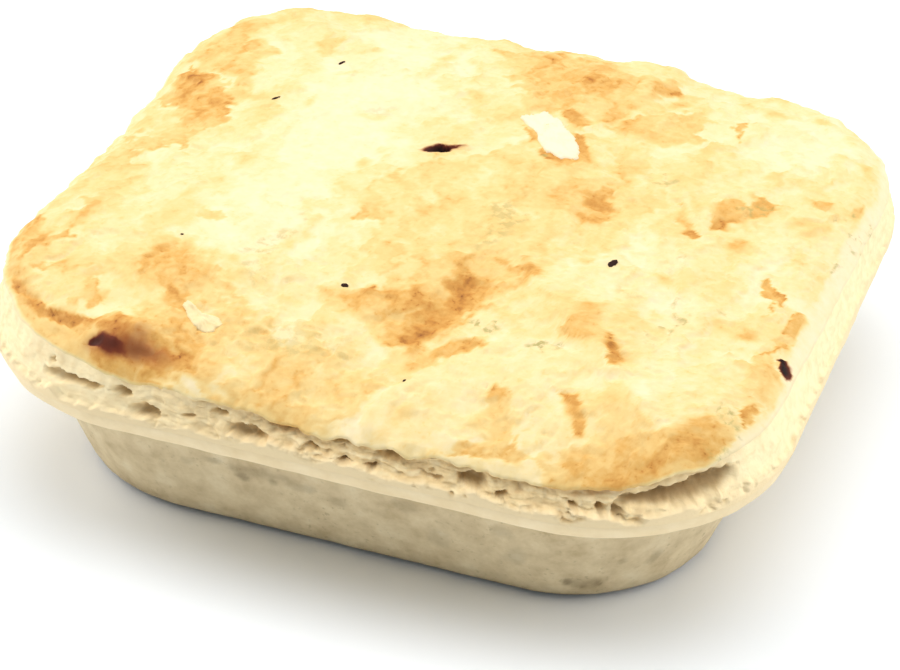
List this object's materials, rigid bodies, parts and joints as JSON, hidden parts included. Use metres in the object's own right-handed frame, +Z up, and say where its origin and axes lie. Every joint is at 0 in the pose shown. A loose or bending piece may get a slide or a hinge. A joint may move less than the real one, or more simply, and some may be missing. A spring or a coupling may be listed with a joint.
{
  "type": "beef pie",
  "caption": "Single-serving square pie with rounded corners: a flared shortcrust case with a turned-out lip under a flaky puff pastry lid, baked pale gold.",
  "frame": {"origin": "middle of the pie's underside, on the surface that it stands on", "axes": "+X along the front edge to the right, +Y to the back, +Z up"},
  "size_m": [0.11, 0.107, 0.0329],
  "materials": {
    "shortcrust": "matte baked shortcrust, pale and finely mottled from the baking tin",
    "puff_pastry": "satin baked puff pastry, pale gold with browned patches and whitish layers at the side"
  },
  "bodies": {
    "root": {"pastry_case": "shortcrust", "puff_lid": "puff_pastry"}
  },
  "joints": []
}
